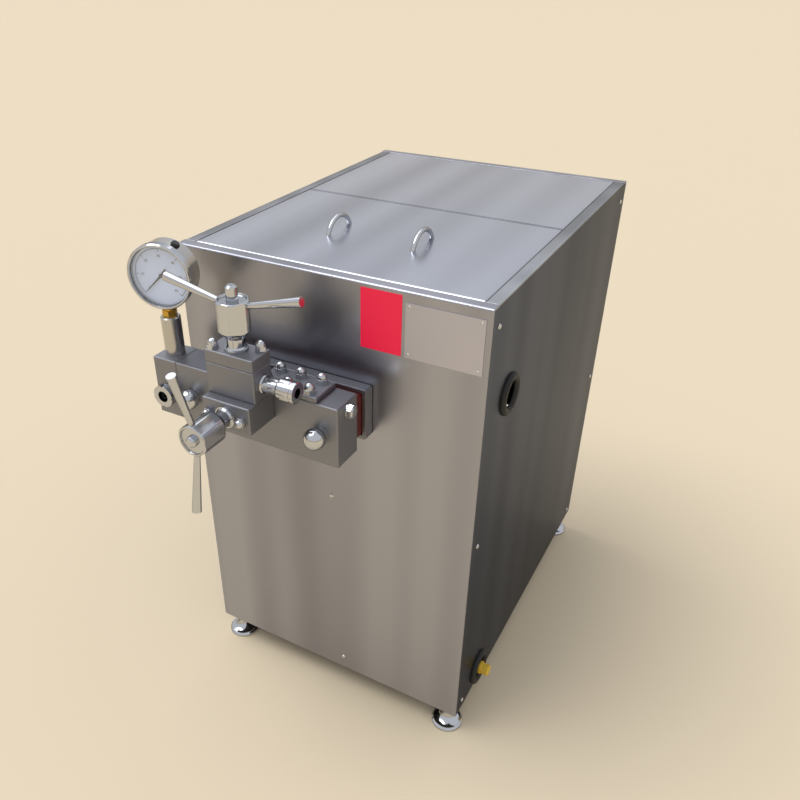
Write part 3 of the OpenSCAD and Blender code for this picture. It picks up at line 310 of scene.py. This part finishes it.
def brushed_sheet(name, code, along, roughness, edge, glance=1.0, second=None):
    """Stainless sheet, belt brushed: fine parallel lines blur what it mirrors, and folds catch a light line.

    The real lines are a few hundredths of a millimetre apart and are drawn wider, so that they show. Broad
    streaks come from the passes of the belt. Glance is the share mirrored at a flat angle.
    Second is another colour, an axis, and the two places on it between which that colour takes over.
    """
    made, tree, shader = new_material(name, Metallic=1.0, Specular_Tint=(glance, glance, glance, 1.0))
    lines = grain(tree, along, *LINE_MM, detail=2.0)
    spread = add_node(tree, "ShaderNodeMapRange",
                      {"Value": lines.outputs["Fac"], **NOISE_RANGE,
                       "To Min": roughness + LINE_GLOSS[0], "To Max": roughness + LINE_GLOSS[1]})
    tree.links.new(spread.outputs["Result"], shader.inputs["Roughness"])
    broad = grain(tree, along, *PASS_MM, detail=0.0)
    passes = add_node(tree, "ShaderNodeMapRange",
                      {"Value": broad.outputs["Fac"], **NOISE_RANGE, **PASS_TONE})
    colour = linear(code)[:3]
    if second:
        other, axis, start, end = second
        place = add_node(tree, "ShaderNodeTexCoord")
        parts = add_node(tree, "ShaderNodeSeparateXYZ", {"Vector": place.outputs["Object"]})
        share = add_node(tree, "ShaderNodeMapRange",
                         {"Value": parts.outputs[axis], "From Min": start, "From Max": end})
        colour = add_node(tree, "ShaderNodeMix",
                          {"Factor": share.outputs["Result"], "A": linear(code), "B": linear(other)},
                          data_type="RGBA").outputs["Result"]
    tone = add_node(tree, "ShaderNodeVectorMath", {0: colour, "Scale": passes.outputs["Result"]},
                    operation="SCALE")
    tree.links.new(tone.outputs["Vector"], shader.inputs["Base Color"])
    rounded = add_node(tree, "ShaderNodeBevel", {"Radius": edge}, samples=BEVEL_SAMPLES)
    bump = add_node(tree, "ShaderNodeBump",
                    {"Height": lines.outputs["Fac"], **LINE_BUMP, "Normal": rounded.outputs["Normal"]})
    tree.links.new(bump.outputs["Normal"], shader.inputs["Normal"])
    return made


def machined_steel(name, code, roughness, edge, glance=1.0):
    """Milled or turned steel: one even gloss, a light line on each broken edge, glance as on the sheet."""
    made, tree, shader = new_material(name, Base_Color=linear(code), Metallic=1.0, Roughness=roughness,
                                      Specular_Tint=(glance, glance, glance, 1.0))
    rounded = add_node(tree, "ShaderNodeBevel", {"Radius": edge}, samples=BEVEL_SAMPLES)
    tree.links.new(rounded.outputs["Normal"], shader.inputs["Normal"])
    return made


def plain(name, code, metallic, roughness, **more):
    """One even finish over the whole piece."""
    return new_material(name, Base_Color=linear(code), Metallic=metallic, Roughness=roughness, **more)[0]


def dress(material, *nodes):
    """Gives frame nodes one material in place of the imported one."""
    for name in nodes:
        data = frame["nodes"][name].data
        data.materials.clear()
        data.materials.append(material)


def finish_piece(made, material, body):
    """Material and body of a new piece."""
    made.data.materials.append(material)
    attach(made, body)


# Operators

class HOMOGENIZER_OT_cabinet(bpy.types.Operator):
    """Brushed sheet on the panels and the top, grey paint on the frame inside"""

    bl_idname = "homogenizer.cabinet"
    bl_label = "Cabinet finish"

    def execute(self, context):
        steel = context.scene.homogenizer_steel
        rough, edge = steel.panel_roughness, steel.edge_round
        fine, thin = ROLLED * rough, TOP_EDGE * edge
        # Painted shade on the sides: a darker colour than the front's, turning below the rim into the lighter
        # bright steel
        lighter_rim = (steel.bright, "Z", *(RIM_Z - below for below in RIM_FADE))
        # Painted shade: a dark band on the rear plate behind the seam, dimming the highlight of its fold
        seam_painted_shade = ("#4A4C52", "Y", *(SEAM_Y + behind for behind in SEAM_FADE))
        dress(brushed_sheet("Brushed stainless sheet", steel.panel, ALONG_Z, rough, edge),
              "front_panel", "back_panel")
        # Sides: darker colour and lowered glance, painted shade
        dress(brushed_sheet("Side stainless sheet, painted shade", steel.side, ALONG_Z, fine, edge, SIDE_SHADE_GLANCE, lighter_rim),
              "left_panel", "right_panel")
        dress(brushed_sheet("Brushed stainless top", steel.top, ALONG_Y, fine, thin), "lid")
        # Rear plate: painted shade, dark behind the seam
        dress(brushed_sheet("Brushed stainless top, painted shade behind the seam", steel.top, ALONG_Y, fine, thin,
                            second=seam_painted_shade), "rear_top_plate")
        dress(plain("Grey primer, sprayed", "#34373A", 0.0, 0.55), "base_rails", "upper_frame", "motor_plate")
        dress(plain("Stainless button heads, turned", "#C9C9C7", 1.0, 0.25), "panel_screws")
        dress(plain("Black rubber, moulded", "#141414", 0.0, 0.6), "grommets", "head_gasket", "v_belts")
        dress(plain("Yellow polythene, moulded", "#E0B93A", 0.0, 0.45), "drain_cap")
        dress(plain("Black polyamide, moulded", "#1B1B1C", 0.0, 0.5), "cable_gland", "gauge_plug")
        dress(plain("Anodised aluminium plate", "#C1C0CB", 1.0, 0.42), "data_plate")
        return {"FINISHED"}


class HOMOGENIZER_OT_head(bpy.types.Operator):
    """Polished blocks, bright fittings and the red casting behind them"""

    bl_idname = "homogenizer.head"
    bl_label = "Pump head finish"

    def execute(self, context):
        steel = context.scene.homogenizer_steel
        dress(machined_steel("Stainless block, milled and polished", steel.head, 0.48, steel.edge_round),
              "pump_block", "gauge_block", "block_cover", "lower_body", "upper_body", "upper_cover",
              "trim_frame")
        dress(plain("Stainless bar, turned", "#BEBCB8", 1.0, 0.22), "gauge_post", "gauge_case", "drain_pipe",
              "crankshaft", "valve_seats", "valve_cores", "valve_springs", "valve_balls")
        dress(machined_steel("Steel, polished bright", steel.bright, 0.12, 0.6 * MM, 0.5),
              "first_lever", "second_lever", "first_spindle", "second_spindle", "bonnets", "valve_nuts",
              "cover_nuts", "ball_nuts", "end_plug", "inlet_fitting", "outlet_union", "lid_handles", "feet",
              "gauge_bezel", "plunger_1", "plunger_2", "plunger_3")
        dress(plain("Red machine enamel, brushed on", "#57100F", 0.0, 0.4), "crankcase", "crankcase_caps")
        dress(plain("Brass, milled", "#C9A24A", 1.0, 0.22), "gauge_adapter")
        dress(plain("White packing resin", "#DAD6C8", 0.0, 0.4), "packings")
        return {"FINISHED"}


class HOMOGENIZER_OT_drive(bpy.types.Operator):
    """Enamel on the motor and grey iron on the pulleys"""

    bl_idname = "homogenizer.drive"
    bl_label = "Drive finish"

    def execute(self, context):
        dress(plain("Blue-grey motor enamel", "#3C5068", 0.0, 0.4), "motor")
        dress(plain("Grey cast iron, turned", "#55565A", 0.7, 0.45), "motor_pulley", "crank_pulley")
        return {"FINISHED"}


class HOMOGENIZER_OT_plates(bpy.types.Operator):
    """Blank red plate beside the data plate, and the data plate's corner rivets"""

    bl_idname = "homogenizer.plates"
    bl_label = "Front plates"

    def execute(self, context):
        face = context.scene.homogenizer_face
        width, height = face.flag_width, face.flag_height
        middle = (PLATE_LOW[0] - face.flag_gap - width / 2, FRONT_Y, PLATE_HIGH[2] + FLAG_ABOVE - height / 2)
        flag = put_mesh("red_plate", *front_plate(width, height, FLAG_CORNER, FLAG_THICK, middle), smooth=False)
        finish_piece(flag, plain("Red enamel plate, stoved", "#FF144B", 0.0, 0.35), "cabinet")

        corners = [(x, PLATE_LOW[1], z) for x in (PLATE_LOW[0] + RIVET_INSET, PLATE_HIGH[0] - RIVET_INSET)
                   for z in (PLATE_LOW[2] + RIVET_INSET, PLATE_HIGH[2] - RIVET_INSET)]
        heads = [dome(face.rivet_radius, 0.5 * face.rivet_radius, c) for c in corners]
        rivets = put_mesh("plate_rivets", *join_parts(heads))
        finish_piece(rivets, plain("Aluminium rivets, upset", "#D5D4D0", 1.0, 0.3), "cabinet")
        return {"FINISHED"}


class HOMOGENIZER_OT_gauge(bpy.types.Operator):
    """Dial with printed steps and plain numbers, black needle, clear glass"""

    bl_idname = "homogenizer.gauge"
    bl_label = "Pressure gauge"

    def execute(self, context):
        face = context.scene.homogenizer_face
        ink = plain("Black dial ink, printed", "#2A2C33", 0.0, 0.6)
        lift = dial_face_lift() + PRINT_LIFT
        dress(plain("White dial enamel, printed", "#D3E2FF", 0.0, 0.5), "gauge_dial")
        dress(plain("Black needle enamel", "#101012", 0.0, 0.4), "gauge_pointer")
        dress(plain("Clear window glass", "#FFFFFF", 0.0, 0.03, Alpha=0.1), "gauge_glass", "oil_sight_glass")

        step = np.arange(face.tick_count + 1)
        angle = np.radians(DIAL_START - DIAL_SWEEP * step / face.tick_count)
        large = step % STEPS_PER_NUMBER == 0
        inner = np.where(large, LARGE_IN, SMALL_IN) * DIAL_R
        outer = np.full(len(step), MARKS_OUT * DIAL_R)
        half = np.where(large, LARGE_HALF, SMALL_HALF)
        along = np.stack([inner, outer, outer, inner], axis=1)
        aside = np.stack([half, half, -half, -half], axis=1)
        c, s = np.cos(angle)[:, None], np.sin(angle)[:, None]
        ticks = on_dial(along * c - aside * s, along * s + aside * c, lift).reshape(-1, 3)
        faces = np.arange(len(ticks)).reshape(-1, 4)
        turn = np.radians(np.linspace(DIAL_START, DIAL_START - DIAL_SWEEP, RING_POINTS))
        arc = np.array([[MARKS_OUT], [RING_IN]]) * DIAL_R
        ring = on_dial(arc * np.cos(turn), arc * np.sin(turn), lift).reshape(-1, 3)
        parts = [(ticks, faces), (ring, grid_faces(2, RING_POINTS, False))]
        marks = put_mesh("dial_marks", *join_parts(parts), smooth=False)
        finish_piece(marks, ink, "cabinet")

        for k, mark in enumerate(angle[large]):
            at = NUMBERS_AT * DIAL_R * np.array([math.cos(mark), math.sin(mark)])
            self.number(str(STEPS_PER_NUMBER * k), at, face.number_height, lift, ink)
        return {"FINISHED"}

    def number(self, words, at, height, lift, ink):
        """One number as a flat mesh on the dial, its place worked into its points."""
        curve = bpy.data.curves.new("dial_number_" + words, "FONT")
        curve.body = words
        curve.size = height
        curve.align_x = "CENTER"
        curve.align_y = "CENTER"
        holder = bpy.data.objects.new(curve.name, curve)
        mesh = bpy.data.meshes.new_from_object(holder)
        flat = np.empty(len(mesh.vertices) * 3)
        mesh.vertices.foreach_get("co", flat)
        flat = flat.reshape(-1, 3)
        placed = on_dial(flat[:, 0] + at[0], flat[:, 1] + at[1], lift)
        mesh.vertices.foreach_set("co", placed.ravel())
        mesh.update()
        bpy.data.objects.remove(holder)
        made = bpy.data.objects.new("dial_number_" + words, mesh)
        bpy.context.scene.collection.objects.link(made)
        finish_piece(made, ink, "cabinet")


class HOMOGENIZER_OT_stage(bpy.types.Operator):
    """Pale floor, soft light from above and the left, a box that metal mirrors, and the camera"""

    bl_idname = "homogenizer.stage"
    bl_label = "Stage"

    def execute(self, context):
        scene = context.scene
        stage = scene.homogenizer_stage
        self.add_floor(stage)
        self.add_light(scene, stage)
        self.add_camera(scene, stage)
        scene.view_settings.view_transform = "Standard"
        return {"FINISHED"}

    def add_floor(self, stage):
        """Square floor, wide enough to fill the picture."""
        points = FLOOR_HALF * np.array([[-1, -1, 0], [1, -1, 0], [1, 1, 0], [-1, 1, 0]])
        floor = put_mesh("floor", points, np.array([[0, 1, 2, 3]]), smooth=False)
        floor.data.materials.append(plain("Matt paper floor", stage.floor, 0.0, 0.9, Specular_IOR_Level=0.1))

    def add_light(self, scene, stage):
        """Sky that meets the floor's colour, a soft lamp from the front left and a box for the highlights."""
        world = bpy.data.worlds.new("Studio sky")
        world.use_nodes = True
        tree = world.node_tree
        tree.nodes.clear()
        way = add_node(tree, "ShaderNodeTexCoord")
        parts = add_node(tree, "ShaderNodeSeparateXYZ", {"Vector": way.outputs["Generated"]})
        rise = add_node(tree, "ShaderNodeMapRange",
                        {"Value": parts.outputs["Z"], "From Min": 0.0, "From Max": SKY_FROM},
                        interpolation_type="SMOOTHSTEP")
        shade = add_node(tree, "ShaderNodeMix",
                         {"Factor": rise.outputs["Result"], "A": linear(stage.floor), "B": linear(stage.sky)},
                         data_type="RGBA")
        sky = add_node(tree, "ShaderNodeBackground",
                       {"Color": shade.outputs["Result"], "Strength": stage.sky_strength})
        add_node(tree, "ShaderNodeOutputWorld", {"Surface": sky.outputs["Background"]})
        scene.world = world

        lamp = bpy.data.lights.new("Soft lamp", "SUN")
        lamp.energy = stage.sun_strength
        lamp.angle = LAMP_ANGLE
        holder = bpy.data.objects.new("Soft lamp", lamp)
        holder.rotation_euler = LAMP_WAY.to_track_quat("-Z", "Y").to_euler()
        scene.collection.objects.link(holder)

        panel = bpy.data.lights.new("Softbox", "AREA")
        panel.shape = "RECTANGLE"
        panel.size, panel.size_y = BOX_SIZE
        panel.energy = stage.box_strength * math.pi * panel.size * panel.size_y
        holder = bpy.data.objects.new("Softbox", panel)
        holder.visible_diffuse = False
        turn = (BOX_AIM - BOX_PLACE).to_track_quat("-Z", "Y").to_matrix().to_4x4()
        holder.matrix_world = Matrix.Translation(BOX_PLACE) @ turn
        scene.collection.objects.link(holder)

    def add_camera(self, scene, stage):
        """Camera at the fitted place: turned by azimuth, tipped down by elevation, then rolled."""
        data = bpy.data.cameras.new("Camera")
        data.lens = stage.lens
        data.sensor_width = SENSOR_MM
        data.shift_x, data.shift_y = CAMERA_SHIFT
        data.clip_end = CLIP_END
        camera = bpy.data.objects.new("Camera", data)
        turn = (Matrix.Rotation(stage.azimuth, 4, "Z") @ Matrix.Rotation(math.pi / 2 - stage.elevation, 4, "X")
                @ Matrix.Rotation(stage.roll, 4, "Z"))
        camera.matrix_world = Matrix.Translation(CAMERA_PLACE) @ turn
        scene.collection.objects.link(camera)
        scene.camera = camera


class HOMOGENIZER_PT_sidebar(bpy.types.Panel):
    """Settings and steps of the machine's looks"""

    bl_idname = "HOMOGENIZER_PT_sidebar"
    bl_label = "Homogenizer"
    bl_space_type = "VIEW_3D"
    bl_region_type = "UI"
    bl_category = "Homogenizer"

    def draw(self, context):
        scene = context.scene
        for group in (scene.homogenizer_steel, scene.homogenizer_face, scene.homogenizer_stage):
            box = self.layout.box()
            for name in group.__annotations__:
                box.prop(group, name)
        for step in STEPS:
            self.layout.operator(step.bl_idname)


GROUPS = {
    "homogenizer_steel": SteelSettings,
    "homogenizer_face": FaceSettings,
    "homogenizer_stage": StageSettings,
}
STEPS = (
    HOMOGENIZER_OT_cabinet,
    HOMOGENIZER_OT_head,
    HOMOGENIZER_OT_drive,
    HOMOGENIZER_OT_plates,
    HOMOGENIZER_OT_gauge,
    HOMOGENIZER_OT_stage,
)


def register():
    for name, group in GROUPS.items():
        bpy.utils.register_class(group)
        setattr(bpy.types.Scene, name, bpy.props.PointerProperty(type=group))
    for step in STEPS:
        bpy.utils.register_class(step)
    bpy.utils.register_class(HOMOGENIZER_PT_sidebar)


def unregister():
    bpy.utils.unregister_class(HOMOGENIZER_PT_sidebar)
    for step in reversed(STEPS):
        bpy.utils.unregister_class(step)
    for name, group in GROUPS.items():
        delattr(bpy.types.Scene, name)
        bpy.utils.unregister_class(group)


def main():
    register()
    bpy.ops.homogenizer.cabinet()
    bpy.ops.homogenizer.head()
    bpy.ops.homogenizer.drive()
    bpy.ops.homogenizer.plates()
    bpy.ops.homogenizer.gauge()
    bpy.ops.homogenizer.stage()


if __name__ == "__main__":
    main()
